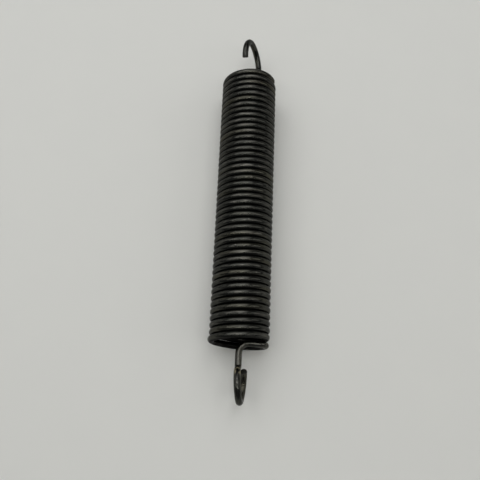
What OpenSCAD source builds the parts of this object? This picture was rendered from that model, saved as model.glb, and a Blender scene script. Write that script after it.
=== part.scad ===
// Extension spring wound from one length of round wire, lying on its side.
// The coil's axis runs along Y. The near hook is at the low end of Y and the far hook at the
// high end. Both ends of the wire are bent the way a forming machine bends them: the wire is
// fed on, turned about its own length, and bent, so every bend starts along the one before it.

/* [Wire] */
// Diameter of the round wire
wire_d = 3.2; // [2:0.1:3.8]
// Width of the edge broken round each cut end
cut_edge = 0.25; // [0.05:0.05:0.8]

/* [Coil] */
// Outside diameter of the coil
coil_od = 29; // [27.5:0.5:60]
// Whole turns, from where the wire leaves the coil at one end to where it leaves at the other
coil_turns = 44; // [4:1:60]
// Air between neighbouring turns as wound
coil_gap = 0.03; // [0.03:0.01:3]

/* [Both hooks] */
// Inside radius of the sharp bend at the neck of the eye
neck_inside = 0.5; // [0.2:0.1:3]
// Sideways lean of each half of the eye, so that the cut end stands beside the neck
eye_lean = 4.8; // [0:0.2:8]

/* [Near end] */
// How much further out than the rest of the coil the last half turn stands
near_spread = 0.5; // [0:0.1:1]
// How far the last half turn opens away from its neighbour
near_opening = 0.3; // [0:0.1:1]
// Inside radius of the bend that turns the wire in from the coil
near_turn_in_inside = 2.1; // [0.8:0.1:3.2]
// Inside radius of the bend that turns the wire out along the axis
near_turn_out_inside = 3.2; // [0.8:0.1:4]
// Distance of the shank from the axis, towards the side where the crossover starts
near_off_axis = 0; // [-1:0.1:1]
// Straight wire between the crossover and the neck of the eye
near_shank_length = 5.4; // [1:0.1:40]
// Inside diameter of the eye
near_eye_id = 11.7; // [7:0.1:20]
// Angle between the eye and the upright plane, towards the side where the crossover starts
near_tilt = -4; // [-180:1:180]
// Angle that the eye wraps from its neck to its cut end
near_wrap = 319; // [200:1:330]

/* [Far end] */
// How much further out than the rest of the coil the wire stands where the crossover starts
far_spread = -0.5; // [-0.8:0.1:0]
// Inside radius of the bend that turns the wire in from the coil
far_turn_in_inside = 2.3; // [0.8:0.1:2.8]
// Inside radius of the bend that turns the wire out along the axis
far_turn_out_inside = 1.8; // [0.8:0.1:2.8]
// Distance of the shank from the axis, towards the side where the crossover starts
far_off_axis = 2.5; // [0:0.1:3.4]
// Straight wire between the crossover and the neck of the eye
far_shank_length = 2.7; // [1:0.1:40]
// Inside diameter of the eye
far_eye_id = 15.2; // [7:0.1:20]
// Angle between the eye and the upright plane, towards the side where the crossover starts
far_tilt = 18.4; // [-180:0.2:180]
// Angle that the eye wraps from its neck to its cut end
far_wrap = 285; // [200:1:330]

/* [Hidden] */
// Sides of the wire and of a full ring, where a curve is drawn with straight edges
wire_sides = 32;
ring_sides = 72;

// Every other length of wire is this much less in radius and reaches this far into its neighbours
seat = 0.01;
seat_depth = 0.05;

wire_r = wire_d / 2;
pitch = wire_d + coil_gap;
coil_r = (coil_od - wire_d) / 2;
neck_r = neck_inside + wire_r;

// Half turns are counted from 0 at the near end, and joint 0 is where the first one starts
last_half_turn = 2 * coil_turns - 1;
last_joint = 2 * coil_turns;
// Distance of a joint from the axis
coil_reach = sqrt(coil_r * coil_r - pitch * pitch / 16);

// Where one half turn passes into the next, from the start of the coil's axis: even joints are
// on the side where the crossovers start
function spread(index) = index <= 1 ? near_spread : index == last_joint ? far_spread : 0;
function opening(index) = index == 1 ? near_opening : 0;
function joint(index) = [
    (index % 2 == 0 ? 1 : -1) * (coil_reach + spread(index)),
    index * pitch / 2 - opening(index),
    0
];

// Each half turn is a flat half circle from joint to joint, swung by an angle so that it climbs
function turn_centre(index) = (joint(index) + joint(index + 1)) / 2;
function turn_radius(index) = norm(joint(index + 1) - joint(index)) / 2;
function turn_swing(index) =
    asin((joint(index + 1)[1] - joint(index)[1]) / 2 / turn_radius(index));

// Even half turns pass under the axis and odd ones over it, which winds a right-hand coil
function side(index) = index % 2 == 0 ? -1 : 1;

// Sizes of one end, which is named by the last half turn there
function at_end(index, near, far) = index == 0 ? near : far;
function off_axis(index) = at_end(index, near_off_axis, far_off_axis);
function turn_in_r(index) = at_end(index, near_turn_in_inside, far_turn_in_inside) + wire_r;
function turn_out_r(index) = at_end(index, near_turn_out_inside, far_turn_out_inside) + wire_r;
function shank_length(index) = at_end(index, near_shank_length, far_shank_length);
function eye_r(index) = (at_end(index, near_eye_id, far_eye_id) + wire_d) / 2;
function eye_tilt(index) = at_end(index, near_tilt, far_tilt);
function eye_wrap(index) = at_end(index, near_wrap, far_wrap);

// Part of the last half turn that the bend turning in replaces, so that it ends on a diameter
function turn_in_from(index) = asin(turn_in_r(index) / (turn_radius(index) - turn_in_r(index)));

// Where the crossover starts to turn out, measured from the middle of the last half turn
function turn_out_from(index) =
    off_axis(index) - turn_centre(index)[0] + turn_out_r(index) * (1 + sin(turn_swing(index)));

// Straight part of the crossover, along the swung half turn
function crossover_length(index) =
    (turn_radius(index) - turn_in_r(index)) * cos(turn_in_from(index))
    - turn_out_from(index) / cos(turn_swing(index));

// Bend at the neck that brings the middle of the eye onto the line of the shank
function neck_bend(index) = acos(neck_r / (neck_r + eye_r(index)));

// Wrap from the neck to the eye's outermost point, which stands in line with the shank
function outer_wrap(index) = 90 + neck_bend(index);

// Distance from the middle of the last half turn to the end of the bend that turns out
function turn_out_reach(index) =
    turn_out_from(index) * tan(turn_swing(index)) + turn_out_r(index) * cos(turn_swing(index));

// Distance from the neck to the outermost point of the eye
function eye_reach(index) =
    (neck_r + eye_r(index) * cos(eye_lean)) * sin(neck_bend(index))
    + eye_r(index) * norm([cos(neck_bend(index)), sin(neck_bend(index)) * cos(eye_lean)])
    + wire_r;

// Distance from the end of the coil's axis to the outermost point of a hook
function end_reach(index) =
    turn_out_reach(index) + shank_length(index) + eye_reach(index)
    - turn_radius(index) * sin(turn_swing(index));

near_reach = end_reach(0);
far_reach = end_reach(last_half_turn);
overall_length = near_reach + coil_turns * pitch + far_reach;

// The box round the spring stands on Z = 0 with its middle at X = 0 and Y = 0
axis_x = near_spread / 2;
coil_start_y = near_reach - overall_length / 2;
axis_z = coil_od / 2 + near_spread;

// How far the present length of wire reaches into its neighbours
function reach_in() = $trim > 0 ? seat_depth : 0;

// Wire arc round the Z axis, from one angle to another, measured from X
module wire_arc(radius, from, to) {
    extra = reach_in() / radius * 180 / PI;
    rotate([0, 0, from - extra])
        rotate_extrude(angle = to - from + 2 * extra, $fn = ring_sides)
            translate([radius, 0])
                circle(r = wire_r - $trim, $fn = wire_sides);
}

// What follows a length of wire, at the other of the two radii
module next_length() {
    $trim = seat - $trim;
    children();
}

// Feed: straight wire along Z, with what follows at its end
module feed(length) {
    translate([0, 0, -reach_in()])
        cylinder(r = wire_r - $trim, h = length + 2 * reach_in(), $fn = wire_sides);
    translate([0, 0, length])
        next_length()
            children();
}

// Turn the wire about its own length before the next bend
module turn(angle) {
    rotate([0, 0, angle])
        children();
}

// Bend the wire from Z towards X, with what follows at its end
module bend(radius, angle) {
    translate([radius, 0, 0])
        rotate([90, 0, 180])
            wire_arc(radius, 0, angle);
    translate([radius, 0, 0])
        rotate([0, angle, 0])
            translate([-radius, 0, 0])
                next_length()
                    children();
}

// Sheared end of the wire, with its edge broken
module cut_end() {
    translate([0, 0, -seat_depth])
        cylinder(r1 = wire_r - 2 * seat, r2 = wire_r - cut_edge, h = cut_edge + seat_depth,
                 $fn = wire_sides);
}

// Places what follows in the plane of a half turn, with X towards the crossovers' side
module in_plane_of(index) {
    translate(turn_centre(index))
        rotate([90 * side(index), 0, turn_swing(index) * side(index)])
            children();
}

// One half turn, which starts at an angle from X
module half_turn(index, from) {
    $trim = side(index) > 0 ? seat : 0;
    in_plane_of(index)
        wire_arc(turn_radius(index), from, 180);
}

// Shank, neck and eye, bent from wire that comes out along the axis
module hook(index) {
    lean = -side(index) * eye_lean;
    feed(shank_length(index))
        turn(90 - eye_tilt(index))
            bend(neck_r, neck_bend(index))
                turn(180 + lean)
                    bend(eye_r(index), outer_wrap(index))
                        turn(2 * lean)
                            bend(eye_r(index), eye_wrap(index) - outer_wrap(index))
                                cut_end();
}

// The wire from the coil to the cut end: in to the axis, out along it, and round the eye
module wire_end(index) {
    $trim = side(index) > 0 ? 0 : seat;
    in_plane_of(index)
        rotate([0, 0, turn_in_from(index)])
            translate([turn_radius(index), 0, 0])
                rotate([90, 180, 0])
                    bend(turn_in_r(index), 90 + turn_in_from(index))
                        feed(crossover_length(index))
                            turn(90)
                                bend(turn_out_r(index), 90 + turn_swing(index))
                                    hook(index);
}

module coil() {
    half_turn(0, turn_in_from(0));
    for (index = [1 : last_half_turn - 1])
        half_turn(index, 0);
    half_turn(last_half_turn, turn_in_from(last_half_turn));
}

module spring_wire() {
    color([0.17, 0.17, 0.16])
        translate([axis_x, coil_start_y, axis_z]) {
            coil();
            wire_end(0);
            wire_end(last_half_turn);
        }
}

spring_wire();
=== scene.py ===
"""Looks of a close-wound extension spring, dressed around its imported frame.

The wire is formed again here in small steps, with the bends of the solid that it stands for, and a
geometry tree sweeps it into one closed skin. Every point of the skin knows where it lies on the
straight wire, so drawing marks, scale and rubbed spots run along the wire through every bend.
"""

from __future__ import annotations

import logging
import math
from dataclasses import dataclass, field
from enum import Enum

import bpy
from mathutils import Matrix, Vector

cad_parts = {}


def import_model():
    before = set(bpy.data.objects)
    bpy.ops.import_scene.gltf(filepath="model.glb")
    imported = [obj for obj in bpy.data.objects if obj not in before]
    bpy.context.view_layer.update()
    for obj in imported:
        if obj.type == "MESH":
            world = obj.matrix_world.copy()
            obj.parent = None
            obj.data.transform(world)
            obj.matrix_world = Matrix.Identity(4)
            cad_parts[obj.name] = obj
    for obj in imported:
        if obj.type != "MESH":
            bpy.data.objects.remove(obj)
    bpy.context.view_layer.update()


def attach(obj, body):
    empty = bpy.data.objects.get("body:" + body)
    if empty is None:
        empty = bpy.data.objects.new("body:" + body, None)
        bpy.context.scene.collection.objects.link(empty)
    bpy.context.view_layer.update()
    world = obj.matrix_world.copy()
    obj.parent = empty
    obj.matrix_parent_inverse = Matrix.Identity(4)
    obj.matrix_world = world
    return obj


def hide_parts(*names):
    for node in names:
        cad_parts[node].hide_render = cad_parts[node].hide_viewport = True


LOG = logging.getLogger("extension_spring")

MM = 0.001
WIRE_NODE = "spring_wire"
WIRE_BODY = "root"
WIRE_SLOT = "spring_steel"

# Places of the sockets that mix colours among those of a Mix node
MIX_COVER = 0
MIX_BELOW = 6
MIX_ABOVE = 7
MIX_RESULT = 2

Colour = tuple[float, float, float]
Place = tuple[float, float, float]
Span = tuple[float, float]


class Mark(Enum):
    """Names of the values that points of the wire carry. The finish reads the first two."""

    PLACE = "wire_place"
    HISTORY = "wire_history"
    OUTWARD = "outward"
    ALONG = "along"
    GIRTH = "girth"
    SECTION = "section"


class NodeTree:
    """A node tree that is built with one call a node."""

    def __init__(self, tree: bpy.types.NodeTree) -> None:
        """Takes a tree and empties it.

        Args:
            tree: The material's, world's or geometry tree.
        """
        self.tree = tree
        self.tree.nodes.clear()

    def add(
        self,
        kind: str,
        settings: dict[str, object] | None = None,
        sockets: dict[str | int, object] | None = None,
    ) -> bpy.types.Node:
        """Adds a node, sets it up, then fills its sockets.

        Args:
            kind: The node's type.
            settings: Properties of the node.
            sockets: Values, nodes' outputs or wrapped sockets, by the input's name or number.

        Returns:
            The new node.
        """
        node = self.tree.nodes.new(kind)
        for name, value in (settings or {}).items():
            setattr(node, name, value)
        for key, value in (sockets or {}).items():
            self.fill(node.inputs[key], value)
        return node

    def fill(self, target: bpy.types.NodeSocket, value: object) -> None:
        """Gives an input its link or its value.

        Args:
            target: The input.
            value: A plain value, a node's output or a wrapped output.
        """
        if isinstance(value, Value):
            self.tree.links.new(value.socket, target)
        elif isinstance(value, bpy.types.NodeSocket):
            self.tree.links.new(value, target)
        else:
            target.default_value = value

    def value(self, socket: bpy.types.NodeSocket) -> Value:
        """Wraps an output, so that it can stand in an expression."""
        return Value(self, socket)

    def mix(
        self,
        cover: Value | bpy.types.NodeSocket,
        below: Colour | bpy.types.NodeSocket,
        above: Colour,
    ) -> bpy.types.NodeSocket:
        """Lays one colour over another.

        Args:
            cover: How much the upper colour covers, from 0 to 1.
            below: The lower colour, as numbers or as a node's output.
            above: The upper colour.

        Returns:
            The mixed colour.
        """
        lower = below if isinstance(below, bpy.types.NodeSocket) else (*below, 1.0)
        node = self.add(
            "ShaderNodeMix",
            {"data_type": "RGBA"},
            {MIX_COVER: cover, MIX_BELOW: lower, MIX_ABOVE: (*above, 1.0)},
        )
        return node.outputs[MIX_RESULT]


class Value:
    """A number that changes over the surface, as the output of a node."""

    def __init__(self, nodes: NodeTree, socket: bpy.types.NodeSocket) -> None:
        """Wraps an output.

        Args:
            nodes: The tree that the output belongs to.
            socket: The output itself.
        """
        self.nodes = nodes
        self.socket = socket

    def _math(self, operation: str, *terms: Value | float) -> Value:
        """Adds a Math node and wraps what it gives."""
        node = self.nodes.add("ShaderNodeMath", {"operation": operation}, dict(enumerate(terms)))
        return self.nodes.value(node.outputs[0])

    def __add__(self, other: Value | float) -> Value:
        """This value plus another."""
        return self._math("ADD", self, other)

    __radd__ = __add__

    def __rsub__(self, other: float) -> Value:
        """A number less this value."""
        return self._math("SUBTRACT", other, self)

    def __mul__(self, other: Value | float) -> Value:
        """This value times another."""
        return self._math("MULTIPLY", self, other)

    __rmul__ = __mul__

    def __truediv__(self, other: Value | float) -> Value:
        """This value over another."""
        return self._math("DIVIDE", self, other)

    def __abs__(self) -> Value:
        """This value without its sign."""
        return self._math("ABSOLUTE", self)

    def smooth(self, low: float, high: float) -> Value:
        """Eases from 0 at low to 1 at high, where low may be the larger.

        Args:
            low: The value that gives 0.
            high: The value that gives 1.

        Returns:
            The eased value.
        """
        swapped = low > high
        node = self.nodes.add(
            "ShaderNodeMapRange",
            {"interpolation_type": "SMOOTHSTEP"},
            {
                "Value": self,
                "From Min": min(low, high),
                "From Max": max(low, high),
                "To Min": float(swapped),
                "To Max": float(not swapped),
            },
        )
        return self.nodes.value(node.outputs[0])


@dataclass
class WirePoint:
    """One ring of the wire, in millimetres, and what was done to the wire there."""

    place: Vector
    # The side of the wire that faces out of the coil
    outward: Vector
    # Length of wire up to here
    along: float
    # Share of the wire's full radius
    girth: float = 1.0
    # From 0 to 1: wound into the coil, rubbed by the forming tool (where rubbed most, also a
    # painted glint), and sheared
    coiled: float = 0.0
    worked: float = 0.0
    cut: float = 0.0


@dataclass
class EndSizes:
    """One end of the spring, in millimetres and degrees."""

    # Angle between the eye and the upright plane, towards the side where the crossover starts
    tilt: float
    # Angle that the eye wraps from its neck to its cut end
    wrap: float
    # Sideways lean of each half of the eye, so that the cut end stands beside the neck
    lean: float
    # Distance of the shank from the axis, towards the side where the crossover starts
    off_axis: float
    # Inside radii of the bends that turn the wire in from the coil and out along the axis
    turn_in_inside: float
    turn_out_inside: float
    # Straight wire between the crossover and the neck of the eye
    shank_length: float
    # Inside diameter of the eye
    eye_id: float
    # How much further out than the coil the last half turn ends, and starts on the other side
    spread: float
    spread_across: float
    # How far the last half turn opens away from its neighbour
    opening: float
    # How much the start of the eye is scuffed, from 0 to 1; near 1 a glint is also painted there
    scuff_and_glint: float


@dataclass
class HalfTurn:
    """A flat half circle of the coil, swung by an angle in radians so that it climbs."""

    centre: Vector
    radius: float
    swing: float


@dataclass
class SpringSizes:
    """The spring's driving sizes, in millimetres and degrees, and what follows from them.

    They are the solid's, but for three that bring the skin nearer to the real spring: the near end
    opens less, and the far end is bent in later and ends further out.
    """

    wire_d: float = 3.2
    # Radius of the edge of a cut end
    cut_edge: float = 0.25
    # Outside diameter of the coil, its whole turns, and the air between them
    coil_od: float = 29.0
    coil_turns: int = 44
    coil_gap: float = 0.03
    # Inside radius of the sharp bend at the neck of each eye
    neck_inside: float = 0.5
    near: EndSizes = field(
        default_factory=lambda: EndSizes(
            tilt=-4.0,
            wrap=319.0,
            lean=4.8,
            off_axis=0.0,
            turn_in_inside=2.1,
            turn_out_inside=3.2,
            shank_length=5.4,
            eye_id=11.7,
            spread=0.5,
            spread_across=0.5,
            opening=0.1,
            scuff_and_glint=1.0,
        )
    )
    far: EndSizes = field(
        default_factory=lambda: EndSizes(
            tilt=18.4,
            wrap=285.0,
            lean=-4.8,
            off_axis=2.5,
            turn_in_inside=1.5,
            turn_out_inside=1.8,
            shank_length=2.7,
            eye_id=15.2,
            spread=-0.2,
            spread_across=0.0,
            opening=0.0,
            scuff_and_glint=0.6,
        )
    )

    @property
    def wire_r(self) -> float:
        """Radius of the wire."""
        return self.wire_d / 2

    @property
    def pitch(self) -> float:
        """Distance along the axis from one turn to the next."""
        return self.wire_d + self.coil_gap

    @property
    def coil_r(self) -> float:
        """Radius of the coil at the middle of its wire."""
        return (self.coil_od - self.wire_d) / 2

    @property
    def axis_x(self) -> float:
        """Where the coil's axis stands, so that the spring's box is centred on 0."""
        return max(0.0, self.near.spread_across, self.far.spread_across) / 2

    @property
    def axis_z(self) -> float:
        """Height of the coil's axis, which a last turn that stands out lifts."""
        near = (self.near.spread + self.near.spread_across) / 2
        return self.coil_od / 2 + max(0.0, near, self.far.spread_across / 2)

    @property
    def coil_reach(self) -> float:
        """Distance of a joint between two half turns from the axis."""
        return math.sqrt(self.coil_r**2 - (self.pitch / 4) ** 2)

    def joint(self, index: int) -> Vector:
        """Where one half turn passes into the next.

        Args:
            index: Which joint, from 0 at the near end. Even ones are on the crossovers' side.

        Returns:
            The joint, at the middle of the wire.
        """
        last = 2 * self.coil_turns
        spreads = {
            0: self.near.spread,
            1: self.near.spread_across,
            last - 1: self.far.spread_across,
            last: self.far.spread,
        }
        openings = {1: -self.near.opening, last - 1: self.far.opening}
        reach = self.coil_reach + spreads.get(index, 0.0)
        along = self.coil_start_y + index * self.pitch / 2 + openings.get(index, 0.0)
        return Vector((self.axis_x + (-reach if index % 2 else reach), along, self.axis_z))

    def half_turn(self, index: int) -> HalfTurn:
        """The half circle between two joints.

        Args:
            index: Which half turn, and so which joint it starts from.

        Returns:
            The half turn.
        """
        first = self.joint(index)
        second = self.joint(index + 1)
        span = second - first
        return HalfTurn((first + second) / 2, span.length / 2, math.asin(abs(span.y) / span.length))

    def end_rise(self, end: EndSizes) -> float:
        """Distance that the last half turn climbs."""
        return self.pitch / 2 - end.opening

    def end_radius(self, end: EndSizes) -> float:
        """Radius of the last half turn."""
        reach = self.coil_reach + (end.spread + end.spread_across) / 2
        return math.hypot(reach, self.end_rise(end) / 2)

    def end_swing(self, end: EndSizes) -> float:
        """Angle by which the last half turn is swung, in radians."""
        return math.asin(self.end_rise(end) / 2 / self.end_radius(end))

    def turn_in_r(self, end: EndSizes) -> float:
        """Radius of the bend that turns the wire in from the coil."""
        return end.turn_in_inside + self.wire_r

    def turn_in_from(self, end: EndSizes) -> float:
        """Part of the last half turn that the bend turning in replaces, in radians."""
        return math.asin(self.turn_in_r(end) / (self.end_radius(end) - self.turn_in_r(end)))

    def turn_out_r(self, end: EndSizes) -> float:
        """Radius of the bend that turns the wire out along the axis."""
        return end.turn_out_inside + self.wire_r

    @property
    def neck_r(self) -> float:
        """Radius of the neck's bend."""
        return self.neck_inside + self.wire_r

    def eye_r(self, end: EndSizes) -> float:
        """Radius of the eye at the middle of its wire."""
        return (end.eye_id + self.wire_d) / 2

    def neck_bend(self, end: EndSizes) -> float:
        """Angle of the neck's bend, in radians."""
        return math.acos(self.neck_r / (self.neck_r + self.eye_r(end)))

    def outer_wrap(self, end: EndSizes) -> float:
        """Wrap from the neck to the eye's outermost point, in radians."""
        return math.pi / 2 + self.neck_bend(end)

    def turn_out_from(self, end: EndSizes) -> float:
        """Where the crossover starts to turn out, measured from the last half turn's middle."""
        middle = (end.spread - end.spread_across) / 2
        return end.off_axis - middle + self.turn_out_r(end) * (1 + math.sin(self.end_swing(end)))

    def crossover_length(self, end: EndSizes) -> float:
        """Straight part of the crossover, along the swung half turn."""
        reach = (self.end_radius(end) - self.turn_in_r(end)) * math.cos(self.turn_in_from(end))
        return reach - self.turn_out_from(end) / math.cos(self.end_swing(end))

    def end_reach(self, end: EndSizes) -> float:
        """Distance that a hook stands out.

        Args:
            end: The sizes of that end.

        Returns:
            The distance from where the count of turns ends to the hook's outermost point.
        """
        lean = math.radians(end.lean)
        swing = self.end_swing(end)
        bend = self.neck_bend(end)
        eye_r = self.eye_r(end)
        neck = (self.neck_r + eye_r * math.cos(lean)) * math.sin(bend)
        eye = eye_r * math.hypot(math.cos(bend), math.sin(bend) * math.cos(lean))
        out = self.turn_out_from(end) * math.tan(swing) + self.turn_out_r(end) * math.cos(swing)
        return out - self.end_rise(end) / 2 + end.shank_length + neck + eye + self.wire_r

    @property
    def overall_length(self) -> float:
        """Length over both hooks."""
        return self.end_reach(self.near) + self.coil_turns * self.pitch + self.end_reach(self.far)

    @property
    def coil_start_y(self) -> float:
        """Where the count of turns starts, with the middle of the overall length at 0."""
        return self.end_reach(self.near) - self.overall_length / 2


class WireFormer:
    """Forms wire in steps: it is fed on, turned about its own length, and bent towards local X."""

    def __init__(
        self, place: Matrix, outward: Vector, along: float, away: float, step: float
    ) -> None:
        """Starts where the wire already is.

        Args:
            place: Frame of the wire's end, with Z along the wire and X towards the next bend.
            outward: The side of the wire that faced out of the coil.
            along: Length of wire up to here.
            away: 1 where the length grows with each step, -1 where it falls.
            step: Largest angle of a bend between two rings, in radians.
        """
        self.place = place
        self.outward = outward
        self.along = along
        self.away = away
        self.step = step
        self.points: list[WirePoint] = []

    def _record(self, **history: float) -> None:
        """Keeps the present end as a ring."""
        middle = self.place.translation.copy()
        self.points.append(WirePoint(middle, self.outward.copy(), self.along, **history))

    def feed(self, length: float, **history: float) -> None:
        """Feeds the wire straight on.

        Args:
            length: Length of straight wire.
            history: What was done to the wire at its new end, as the ring's own values.
        """
        self.place = self.place @ Matrix.Translation((0, 0, length))
        self.along += self.away * length
        self._record(**history)

    def turn(self, angle: float) -> None:
        """Turns the wire about its own length before the next bend."""
        self.place = self.place @ Matrix.Rotation(angle, 4, "Z")

    def bend(self, radius: float, angle: float, worked: Span = (0.0, 0.0)) -> None:
        """Bends the wire round a circle.

        Args:
            radius: Radius at the middle of the wire.
            angle: Angle of the bend, in radians.
            worked: How much the forming tool rubs the middle and the end of the bend, from 0 to 1.
                Where it nears 1, the finish also paints a glint.
        """
        steps = math.ceil(angle / self.step)
        part = Matrix.Rotation(angle / steps, 4, "Y")
        move = Matrix.Translation((radius, 0, 0)) @ part @ Matrix.Translation((-radius, 0, 0))
        for index in range(1, steps + 1):
            before = self.place.to_3x3()
            self.place = self.place @ move
            self.outward = self.place.to_3x3() @ before.inverted() @ self.outward
            self.along += self.away * radius * angle / steps
            part_way = index / steps
            at_middle = math.sin(math.pi * part_way)
            at_end = max(0.0, 2 * part_way - 1)
            self._record(worked=max(worked[0] * at_middle, worked[1] * at_end))

    def cut(self, wire_r: float, edge: float, steps: int) -> None:
        """Ends the wire with a small round edge.

        Args:
            wire_r: Radius of the wire.
            edge: Radius of the edge.
            steps: Rings round the edge.
        """
        self.points[-1].cut = 1.0
        for index in range(1, steps + 1):
            before = math.sin(math.pi / 2 * (index - 1) / steps)
            angle = math.pi / 2 * index / steps
            girth = 1 - edge / wire_r * (1 - math.cos(angle))
            self.feed(edge * (math.sin(angle) - before), girth=girth, cut=1.0)


@dataclass
class SpringWire:
    """The whole spring, as one length of wire from the near cut end to the far one."""

    sizes: SpringSizes
    # Rings in a half turn, and the largest angle between two rings of any other bend
    coil_steps: int = 36
    bend_step: float = math.radians(6)
    # Rings round the edge of a cut end, and sides of every ring
    edge_steps: int = 5
    sides: int = 24
    # Edges that turn by more than this stay sharp
    smooth_below: float = math.radians(30)
    # How much the forming tool rubs the middle and the end of each bend, and the shank
    neck_rub: Span = (0.5, 0.6)
    bend_rub: Span = (0.5, 0.3)
    shank_rub: float = 0.3
    # Part of the eye, from its neck, that can be scuffed and carry a painted glint
    scuff_and_glint_part: float = math.radians(60)

    def half_frame(self, index: int) -> Matrix:
        """Frame of one flat half turn.

        Args:
            index: Which half turn. Even ones pass under the axis and odd ones over it.

        Returns:
            The frame, with its origin in the middle and the half turn in its XY plane.
        """
        side = 1 if index % 2 else -1
        half = self.sizes.half_turn(index)
        tip = Matrix.Rotation(math.pi / 2 * side, 4, "X")
        return Matrix.Translation(half.centre) @ Matrix.Rotation(half.swing * side, 4, "Z") @ tip

    def coil_point(self, index: int, angle: float) -> WirePoint:
        """One ring of the coil.

        Args:
            index: Which half turn.
            angle: Angle along it from its +X end, in radians.

        Returns:
            The ring, with its place along the wire still to be set.
        """
        frame = self.half_frame(index)
        ray = Vector((math.cos(angle), math.sin(angle), 0))
        tangent = frame.to_3x3() @ Vector((-math.sin(angle), math.cos(angle), 0))
        place = frame @ (ray * self.sizes.half_turn(index).radius)
        radial = Vector((place.x - self.sizes.axis_x, 0, place.z - self.sizes.axis_z)).normalized()
        outward = (radial - tangent * radial.dot(tangent)).normalized()
        return WirePoint(place, outward, 0.0, coiled=1.0)

    def coil_points(self) -> list[WirePoint]:
        """The coil as rings.

        Returns:
            The rings, from the near end to the far end.
        """
        points: list[WirePoint] = []
        sizes = self.sizes
        last = 2 * sizes.coil_turns - 1
        starts = {0: sizes.turn_in_from(sizes.near), last: sizes.turn_in_from(sizes.far)}
        along = 0.0
        for index in range(last + 1):
            start = starts.get(index, 0.0)
            part = (math.pi - start) / self.coil_steps
            angles = [start + part * step for step in range(self.coil_steps + 1)]
            if index % 2:
                angles.reverse()
            for angle in angles[1 if points else 0 :]:
                point = self.coil_point(index, angle)
                if points:
                    along += (point.place - points[-1].place).length
                point.along = along
                points.append(point)
        return points

    def end_points(
        self, index: int, end: EndSizes, start: WirePoint, away: float
    ) -> list[WirePoint]:
        """The rings from the coil to a cut end: in to the axis, out along it, and round the eye.

        Args:
            index: The half turn that the wire leaves.
            end: The sizes of that end.
            start: The coil's ring at that end.
            away: 1 at the far end and -1 at the near one.

        Returns:
            The rings, starting beside the coil.
        """
        sizes = self.sizes
        rim = Matrix.Translation((sizes.half_turn(index).radius, 0, 0))
        leave = Matrix.Rotation(sizes.turn_in_from(end), 4, "Z") @ rim
        face = Matrix.Rotation(math.pi, 4, "Y") @ Matrix.Rotation(math.pi / 2, 4, "X")
        place = self.half_frame(index) @ leave @ face
        former = WireFormer(place, start.outward.copy(), start.along, away, self.bend_step)
        lean = math.radians(end.lean)
        former.bend(sizes.turn_in_r(end), math.pi / 2 + sizes.turn_in_from(end), self.bend_rub)
        former.feed(sizes.crossover_length(end))
        former.turn(math.pi / 2)
        former.bend(sizes.turn_out_r(end), math.pi / 2 + sizes.end_swing(end), self.bend_rub)
        former.feed(end.shank_length, worked=self.shank_rub)
        former.turn(math.pi / 2 - math.radians(end.tilt))
        former.bend(sizes.neck_r, sizes.neck_bend(end), self.neck_rub)
        former.turn(math.pi + lean)
        former.bend(sizes.eye_r(end), self.scuff_and_glint_part, (end.scuff_and_glint, 0.0))
        former.bend(sizes.eye_r(end), sizes.outer_wrap(end) - self.scuff_and_glint_part)
        former.turn(2 * lean)
        former.bend(sizes.eye_r(end), math.radians(end.wrap) - sizes.outer_wrap(end))
        former.cut(sizes.wire_r, sizes.cut_edge, self.edge_steps)
        return former.points

    def path(self) -> list[WirePoint]:
        """The whole wire as rings.

        Returns:
            The rings, from the near cut end to the far one.
        """
        coil = self.coil_points()
        near = self.end_points(0, self.sizes.near, coil[0], -1)
        far = self.end_points(2 * self.sizes.coil_turns - 1, self.sizes.far, coil[-1], 1)
        return near[::-1] + coil + far

    def path_object(self) -> bpy.types.Object:
        """The path as a chain of edges in metres.

        Returns:
            The chain, with each ring's marks on its vertex.
        """
        points = self.path()
        mesh = bpy.data.meshes.new("spring_path")
        edges = [(index, index + 1) for index in range(len(points) - 1)]
        mesh.from_pydata([tuple(point.place * MM) for point in points], edges, [])
        vectors = {
            Mark.OUTWARD: [point.outward for point in points],
            Mark.HISTORY: [(point.coiled, point.worked, point.cut) for point in points],
        }
        for mark, rows in vectors.items():
            layer = mesh.attributes.new(mark.value, "FLOAT_VECTOR", "POINT")
            layer.data.foreach_set("vector", [number for row in rows for number in row])
        numbers = {
            Mark.ALONG: [point.along * MM for point in points],
            Mark.GIRTH: [point.girth for point in points],
        }
        for mark, row in numbers.items():
            layer = mesh.attributes.new(mark.value, "FLOAT", "POINT")
            layer.data.foreach_set("value", row)
        path = bpy.data.objects.new("spring_path", mesh)
        bpy.context.scene.collection.objects.link(path)
        return path

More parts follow.
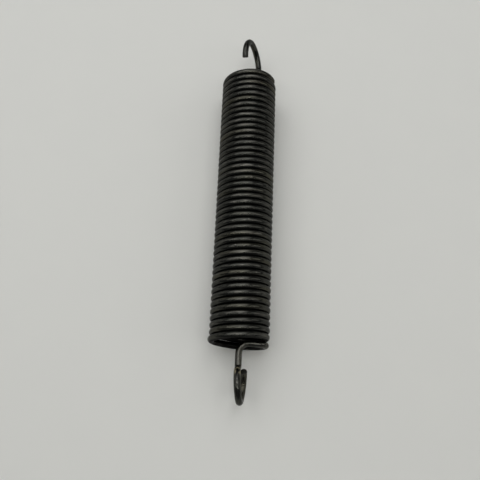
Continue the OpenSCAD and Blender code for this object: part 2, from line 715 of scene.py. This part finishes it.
    def sweep_tree(self, finish: bpy.types.Material) -> tuple[bpy.types.NodeTree, dict[str, str]]:
        """The geometry tree that sweeps a round wire along a chain of edges.

        Args:
            finish: Material of the wire.

        Returns:
            The tree, and the identifier of each of its inputs by name.
        """
        tree = bpy.data.node_groups.new("wire_sweep", "GeometryNodeTree")
        nodes = NodeTree(tree)
        sockets = tree.interface
        sockets.new_socket("Path", in_out="INPUT", socket_type="NodeSocketGeometry")
        radius = sockets.new_socket("Wire Radius", in_out="INPUT", socket_type="NodeSocketFloat")
        sides = sockets.new_socket("Sides", in_out="INPUT", socket_type="NodeSocketInt")
        sockets.new_socket("Skin", in_out="OUTPUT", socket_type="NodeSocketGeometry")
        given = nodes.add("NodeGroupInput")
        chain = nodes.add("GeometryNodeMeshToCurve", None, {"Mesh": given.outputs["Path"]})
        centre_line = nodes.add(
            "GeometryNodeSetCurveNormal",
            {"mode": "FREE"},
            {"Curve": chain.outputs[0], "Normal": self._read(nodes, Mark.OUTWARD, "FLOAT_VECTOR")},
        )
        circle = nodes.add(
            "GeometryNodeCurvePrimitiveCircle",
            {"mode": "RADIUS"},
            {"Resolution": given.outputs["Sides"], "Radius": given.outputs["Wire Radius"]},
        )
        position = nodes.add("GeometryNodeInputPosition")
        section = self._store(nodes, Mark.SECTION, circle.outputs[0], position.outputs[0])
        skin = nodes.add(
            "GeometryNodeCurveToMesh",
            None,
            {
                "Curve": centre_line.outputs[0],
                "Profile Curve": section,
                "Scale": self._read(nodes, Mark.GIRTH, "FLOAT"),
                "Fill Caps": True,
            },
        )
        across = nodes.add(
            "ShaderNodeSeparateXYZ", None, {0: self._read(nodes, Mark.SECTION, "FLOAT_VECTOR")}
        )
        place = nodes.add(
            "ShaderNodeCombineXYZ",
            None,
            {0: across.outputs[0], 1: across.outputs[1], 2: self._read(nodes, Mark.ALONG, "FLOAT")},
        )
        placed = self._store(nodes, Mark.PLACE, skin.outputs[0], place.outputs[0])
        smooth = nodes.add("GeometryNodeSetShadeSmooth", {"domain": "FACE"}, {"Geometry": placed})
        whole = nodes.add("GeometryNodeRealizeInstances", None, {"Geometry": smooth.outputs[0]})
        dressed = nodes.add(
            "GeometryNodeSetMaterial", None, {"Geometry": whole.outputs[0], "Material": finish}
        )
        nodes.add("NodeGroupOutput", None, {"Skin": dressed.outputs[0]})
        return tree, {"Wire Radius": radius.identifier, "Sides": sides.identifier}

    @staticmethod
    def _read(nodes: NodeTree, mark: Mark, kind: str) -> bpy.types.NodeSocket:
        """The output that reads a mark of a kind in a geometry tree."""
        read = nodes.add(
            "GeometryNodeInputNamedAttribute", {"data_type": kind}, {"Name": mark.value}
        )
        return read.outputs["Attribute"]

    @staticmethod
    def _store(
        nodes: NodeTree,
        mark: Mark,
        geometry: bpy.types.NodeSocket,
        vector: bpy.types.NodeSocket,
    ) -> bpy.types.NodeSocket:
        """Stores a vector at each point of a geometry.

        Args:
            nodes: The geometry tree.
            mark: The name it is stored under.
            geometry: What carries it.
            vector: The vector.

        Returns:
            The geometry with the mark.
        """
        store = nodes.add(
            "GeometryNodeStoreNamedAttribute",
            {"data_type": "FLOAT_VECTOR", "domain": "POINT"},
            {"Geometry": geometry, "Name": mark.value, "Value": vector},
        )
        return store.outputs[0]

    def build(self, finish: bpy.types.Material) -> bpy.types.Object:
        """Sweeps the wire and gives it as one plain mesh.

        Args:
            finish: Material of the wire.

        Returns:
            The finished object, which sits at the origin.
        """
        path = self.path_object()
        tree, inputs = self.sweep_tree(finish)
        sweep = path.modifiers.new("wire_sweep", "NODES")
        sweep.node_group = tree
        sweep[inputs["Wire Radius"]] = self.sizes.wire_r * MM
        sweep[inputs["Sides"]] = self.sides
        graph = bpy.context.evaluated_depsgraph_get()
        mesh = bpy.data.meshes.new_from_object(path.evaluated_get(graph), depsgraph=graph)
        mesh.name = "spring_wire_skin"
        for mark in (Mark.OUTWARD, Mark.ALONG, Mark.GIRTH, Mark.SECTION):
            if mark.value in mesh.attributes:
                mesh.attributes.remove(mesh.attributes[mark.value])
        mesh.set_sharp_from_angle(angle=self.smooth_below)
        path.modifiers.remove(sweep)
        bpy.data.objects.remove(path)
        skin = bpy.data.objects.new("spring_wire_skin", mesh)
        bpy.context.scene.collection.objects.link(skin)
        return skin

    def dress(self, finish: bpy.types.Material) -> bpy.types.Object:
        """Builds the wire and puts it in the place of its solid.

        Args:
            finish: Material of the wire.

        Returns:
            The finished object.
        """
        skin = self.build(finish)
        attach(skin, WIRE_BODY)
        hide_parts(WIRE_NODE)
        triangles = sum(len(face.vertices) - 2 for face in skin.data.polygons)
        LOG.info("%s: %d triangles, rides on %s", skin.name, triangles, WIRE_BODY)
        return skin


@dataclass(frozen=True)
class Pattern:
    """Noise with steps of its own across and along the wire, counted in a metre."""

    across: float
    along: float
    # Layers of finer noise
    detail: float

    def read(self, nodes: NodeTree, place: bpy.types.NodeSocket) -> Value:
        """Adds the noise to a material.

        Args:
            nodes: The material's tree.
            place: Place on the straight wire.

        Returns:
            The noise, mostly between 0.3 and 0.7.
        """
        stretched = nodes.add(
            "ShaderNodeVectorMath",
            {"operation": "MULTIPLY"},
            {0: place, 1: (self.across, self.across, self.along)},
        )
        noise = nodes.add(
            "ShaderNodeTexNoise",
            None,
            {"Vector": stretched.outputs[0], "Scale": 1.0, "Detail": self.detail},
        )
        return nodes.value(noise.outputs["Fac"])


@dataclass(frozen=True)
class OilTemperedSteel:
    """Dark scaled finish of hardened and tempered spring wire, half glossy from its oil.

    A span holds the two values between which a pattern or a place on the wire fades in.
    """

    wire_r: float
    scale_dark: Colour = (0.033, 0.0335, 0.031)
    scale_light: Colour = (0.068, 0.0685, 0.061)
    temper_tint: Colour = (0.078, 0.074, 0.055)
    rubbed: Colour = (0.150, 0.144, 0.130)
    sheared: Colour = (0.060, 0.058, 0.054)
    # Painted shade: near black, laid on the wire's sides between turns and on the coil's inside,
    # where shade falls
    painted_shade: Colour = (0.006, 0.006, 0.006)
    # Painted glint: pale olive colour of the patch at the start of the near eye
    painted_glint: Colour = (0.260, 0.235, 0.145)
    edge_tint: Colour = (0.6, 0.6, 0.6)

    marks: Pattern = Pattern(across=3800.0, along=55.0, detail=3.0)
    mottle: Pattern = Pattern(across=900.0, along=180.0, detail=4.0)
    chips: Pattern = Pattern(across=900.0, along=405.0, detail=4.0)
    tint: Pattern = Pattern(across=200.0, along=26.0, detail=2.0)
    marks_span: Span = (0.30, 0.72)
    tint_span: Span = (0.48, 0.70)

    # Nicks: their cells in a metre, the edge of one, and which cells have one
    nick_scale: float = 520.0
    nick_edge: Span = (0.22, 0.12)
    nick_choice: Span = (0.90, 0.94)

    # Places on the wire, as shares of its radius from its middle
    outside_span: Span = (0.72, 0.98)
    inside_span: Span = (0.05, -0.45)
    gap_span: Span = (0.66, 0.94)

    # Rubbed spots on the coil's outside and where the wire was worked
    coil_rub_span: Span = (0.50, 0.68)
    worked_rub_span: Span = (0.30, 0.56)

    # Painted glint: a pale olive, half matt patch where the wire was worked hardest, at the start
    # of the near eye; and the sheared face
    glint_span: Span = (0.62, 0.90)
    glint_chip_span: Span = (0.42, 0.52)
    cut_span: Span = (0.6, 1.0)

    # How much of each layer's colour covers what is below it
    tint_cover: float = 0.7
    gap_cover: float = 0.9
    inside_cover: float = 0.8
    coil_rub_cover: float = 0.55
    worked_rub_cover: float = 0.9
    cut_cover: float = 0.7

    # Roughness of glossy and dull scale, and what else makes it duller
    gloss: float = 0.20
    dull: float = 0.34
    gloss_span: Span = (0.35, 0.65)
    gap_dulls: float = 0.25
    cut_dulls: float = 0.15
    glint_dulls: float = 0.25

    # How much of the look of metal the painted glint loses
    glint_metal_loss: float = 0.75

    # Relief, with its depth in metres
    marks_height: float = 0.7
    mottle_height: float = 0.6
    nick_height: float = -0.8
    relief_strength: float = 0.35
    relief_depth: float = 0.00006

    def material(self) -> bpy.types.Material:
        """The finish as a node material that reads the wire's own marks.

        Returns:
            The material.
        """
        material = bpy.data.materials.new(WIRE_SLOT)
        material.use_nodes = True
        nodes = NodeTree(material.node_tree)
        place = self._mark(nodes, Mark.PLACE)
        outer, beside, _ = self._split(nodes, place)
        coiled, worked, cut = self._split(nodes, self._mark(nodes, Mark.HISTORY))
        marks = self.marks.read(nodes, place)
        mottle = self.mottle.read(nodes, place)
        chips = self.chips.read(nodes, place)
        tint = self.tint.read(nodes, place).smooth(*self.tint_span)
        nicks = self._nicks(nodes, place)
        outside = (outer / self.wire_r).smooth(*self.outside_span) * coiled
        inside = (outer / self.wire_r).smooth(*self.inside_span) * coiled
        gap = (abs(beside) / self.wire_r).smooth(*self.gap_span) * coiled
        coil_rub = outside * mottle.smooth(*self.coil_rub_span) * self.coil_rub_cover
        worked_rub = worked * chips.smooth(*self.worked_rub_span) * self.worked_rub_cover
        # Painted glint at the start of the near eye, where the wire was worked hardest
        glint_patch = worked.smooth(*self.glint_span) * chips.smooth(*self.glint_chip_span)
        end_face = cut.smooth(*self.cut_span)
        layers = [
            (marks.smooth(*self.marks_span), self.scale_light),
            (tint * self.tint_cover, self.temper_tint),
            # Painted shade between the turns and on the inside of the coil
            (gap * self.gap_cover, self.painted_shade),
            (inside * self.inside_cover, self.painted_shade),
            (coil_rub + worked_rub, self.rubbed),
            (nicks, self.rubbed),
            # Painted glint
            (glint_patch, self.painted_glint),
            (end_face * self.cut_cover, self.sheared),
        ]
        colour = self.scale_dark
        for cover, above in layers:
            colour = nodes.mix(cover, colour, above)
        rough = self.gloss + (self.dull - self.gloss) * mottle.smooth(*self.gloss_span)
        rough = rough + gap * self.gap_dulls + end_face * self.cut_dulls + glint_patch * self.glint_dulls
        height = marks * self.marks_height + mottle * self.mottle_height + nicks * self.nick_height
        relief = nodes.add(
            "ShaderNodeBump",
            None,
            {"Strength": self.relief_strength, "Distance": self.relief_depth, "Height": height},
        )
        surface = nodes.add(
            "ShaderNodeBsdfPrincipled",
            None,
            {
                "Base Color": colour,
                "Metallic": 1.0 - glint_patch * self.glint_metal_loss,
                "Specular Tint": (*self.edge_tint, 1.0),
                "Roughness": rough,
                "Normal": relief.outputs[0],
            },
        )
        nodes.add("ShaderNodeOutputMaterial", None, {"Surface": surface.outputs[0]})
        return material

    def _nicks(self, nodes: NodeTree, place: bpy.types.NodeSocket) -> Value:
        """Small bright spots where the scale has been knocked off, a few on each turn.

        Args:
            nodes: The material's tree.
            place: Place on the straight wire.

        Returns:
            1 in a spot and 0 beside it.
        """
        spots = nodes.add(
            "ShaderNodeTexVoronoi",
            None,
            {"Vector": place, "Scale": self.nick_scale, "Randomness": 1.0},
        )
        chosen, _, _ = self._split(nodes, spots.outputs["Color"])
        near = nodes.value(spots.outputs["Distance"]).smooth(*self.nick_edge)
        return near * chosen.smooth(*self.nick_choice)

    @staticmethod
    def _mark(nodes: NodeTree, mark: Mark) -> bpy.types.NodeSocket:
        """The output that reads one of the wire's marks."""
        return nodes.add("ShaderNodeAttribute", {"attribute_name": mark.value}).outputs["Vector"]

    @staticmethod
    def _split(nodes: NodeTree, vector: bpy.types.NodeSocket) -> tuple[Value, Value, Value]:
        """The three numbers of a vector."""
        parts = nodes.add("ShaderNodeSeparateXYZ", None, {0: vector})
        return tuple(nodes.value(output) for output in parts.outputs)


@dataclass(frozen=True)
class PaleBoard:
    """The plain pale surface that the spring lies on."""

    colour: Colour = (0.785, 0.79, 0.765)
    shade: Colour = (0.765, 0.77, 0.75)
    half_side: float = 1.5
    mottle_scale: float = 40.0
    mottle_detail: float = 3.0
    roughness: float = 0.7
    sheen: float = 0.2

    def build(self) -> bpy.types.Object:
        """Makes the floor as a stage object.

        Returns:
            The floor.
        """
        mesh = bpy.data.meshes.new("floor")
        reach = self.half_side
        corners = [(-reach, -reach, 0), (reach, -reach, 0), (reach, reach, 0), (-reach, reach, 0)]
        mesh.from_pydata(corners, [], [(0, 1, 2, 3)])
        floor = bpy.data.objects.new("floor", mesh)
        bpy.context.scene.collection.objects.link(floor)
        mesh.materials.append(self.material())
        LOG.info("floor: stage, %.1f m square", 2 * reach)
        return floor

    def material(self) -> bpy.types.Material:
        """Matt pale board with a very faint mottle.

        Returns:
            The material.
        """
        material = bpy.data.materials.new("pale_board")
        material.use_nodes = True
        nodes = NodeTree(material.node_tree)
        place = nodes.add("ShaderNodeTexCoord").outputs["Object"]
        noise = nodes.add(
            "ShaderNodeTexNoise",
            None,
            {"Vector": place, "Scale": self.mottle_scale, "Detail": self.mottle_detail},
        )
        surface = nodes.add(
            "ShaderNodeBsdfPrincipled",
            None,
            {
                "Base Color": nodes.mix(noise.outputs["Fac"], self.shade, self.colour),
                "Roughness": self.roughness,
                "Specular IOR Level": self.sheen,
            },
        )
        nodes.add("ShaderNodeOutputMaterial", None, {"Surface": surface.outputs[0]})
        return material


@dataclass(frozen=True)
class Softbox:
    """A rectangular lamp that faces a point near the spring, in metres."""

    name: str
    place: Place
    width: float
    height: float
    radiance: float
    colour: Colour
    aim: Place = (0.0, 0.0, 0.015)

    def build(self) -> bpy.types.Object:
        """Makes the lamp. Its power follows from its radiance and its area.

        Returns:
            The lamp's object.
        """
        lamp = bpy.data.lights.new(self.name, "AREA")
        lamp.shape = "RECTANGLE"
        lamp.size = self.width
        lamp.size_y = self.height
        lamp.energy = self.radiance * self.width * self.height * math.pi
        lamp.color = self.colour
        box = bpy.data.objects.new(self.name, lamp)
        bpy.context.scene.collection.objects.link(box)
        direction = Vector(self.aim) - Vector(self.place)
        box.rotation_euler = direction.to_track_quat("-Z", "Y").to_euler()
        box.location = self.place
        LOG.info("%s: lamp of radiance %.1f", self.name, self.radiance)
        return box


@dataclass(frozen=True)
class Studio:
    """Plain soft light round the spring."""

    world_colour: Colour = (0.95, 0.97, 1.0)
    world_strength: float = 0.12
    lamps: tuple[Softbox, ...] = (
        Softbox(
            name="overhead",
            place=(-0.26, 0.55, 1.0),
            width=1.6,
            height=1.1,
            radiance=1.40,
            colour=(1.0, 0.995, 0.98),
            aim=(-0.26, 0.45, 0.0),
        ),
        Softbox(
            name="skylight",
            place=(0.05, 0.02, 0.90),
            width=0.18,
            height=0.16,
            radiance=4.2,
            colour=(1.0, 0.99, 0.95),
        ),
        Softbox(
            name="strip",
            place=(-0.10, -0.28, 0.82),
            width=2.0,
            height=0.05,
            radiance=5.8,
            colour=(1.0, 0.99, 0.93),
            aim=(-0.06, 0.0, 0.015),
        ),
        Softbox(
            name="key",
            place=(-0.04, -0.29, 0.84),
            width=0.32,
            height=0.06,
            radiance=4.6,
            colour=(1.0, 0.99, 0.94),
        ),
        Softbox(
            name="side_window",
            place=(0.85, 0.05, 0.55),
            width=0.6,
            height=0.6,
            radiance=0.85,
            colour=(1.0, 0.99, 0.94),
        ),
        Softbox(
            name="left_wall",
            place=(-0.9, 0.3, 0.3),
            width=0.8,
            height=0.35,
            radiance=0.5,
            colour=(1.0, 0.99, 0.94),
        ),
    )

    def build(self) -> None:
        """Sets the world and the lamps."""
        scene = bpy.context.scene
        world = bpy.data.worlds.new("soft_room")
        scene.world = world
        world.use_nodes = True
        nodes = NodeTree(world.node_tree)
        light = nodes.add(
            "ShaderNodeBackground",
            None,
            {"Color": (*self.world_colour, 1.0), "Strength": self.world_strength},
        )
        nodes.add("ShaderNodeOutputWorld", None, {"Surface": light.outputs[0]})
        for lamp in self.lamps:
            lamp.build()
        scene.view_settings.view_transform = "Standard"


@dataclass(frozen=True)
class Viewpoint:
    """The camera: a hand-held view from above the near hook, in millimetres and degrees.

    It is aimed at a point that is beside the coil's axis, and along it from the coil's near end.
    Its sizes are those that bring the spring's outline to where the photograph has it.
    """

    beside: float = -1.57
    along: float = 51.535
    distance: float = 283.05
    azimuth: float = -2.296
    elevation: float = 71.334
    sensor: float = 36.0
    lens: float = 42.48
    # Nearest thing that is drawn, in metres
    clip_start: float = 0.01

    def build(self, sizes: SpringSizes) -> bpy.types.Object:
        """Makes the scene's camera.

        Args:
            sizes: The spring that it is aimed at.

        Returns:
            The camera.
        """
        azimuth = math.radians(self.azimuth)
        elevation = math.radians(self.elevation)
        forward = Vector(
            (
                math.sin(azimuth) * math.cos(elevation),
                math.cos(azimuth) * math.cos(elevation),
                -math.sin(elevation),
            )
        )
        lens = bpy.data.cameras.new("camera")
        lens.sensor_width = self.sensor
        lens.lens = self.lens
        lens.clip_start = self.clip_start
        camera = bpy.data.objects.new("camera", lens)
        bpy.context.scene.collection.objects.link(camera)
        target = Vector((sizes.axis_x + self.beside, sizes.coil_start_y + self.along, sizes.axis_z))
        camera.location = (target - forward * self.distance) * MM
        camera.rotation_euler = (math.pi / 2 - elevation, 0.0, -azimuth)
        bpy.context.scene.camera = camera
        LOG.info("camera: %.0f mm away, %.1f degrees up", self.distance, self.elevation)
        return camera


def main() -> None:
    """Loads the frame, dresses the spring, and sets the stage, the light and the camera."""
    logging.basicConfig(level=logging.INFO, format="%(name)s: %(message)s")
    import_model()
    sizes = SpringSizes()
    Viewpoint().build(sizes)
    finish = OilTemperedSteel(wire_r=sizes.wire_r * MM)
    SpringWire(sizes).dress(finish.material())
    PaleBoard().build()
    Studio().build()


if __name__ == "__main__":
    main()
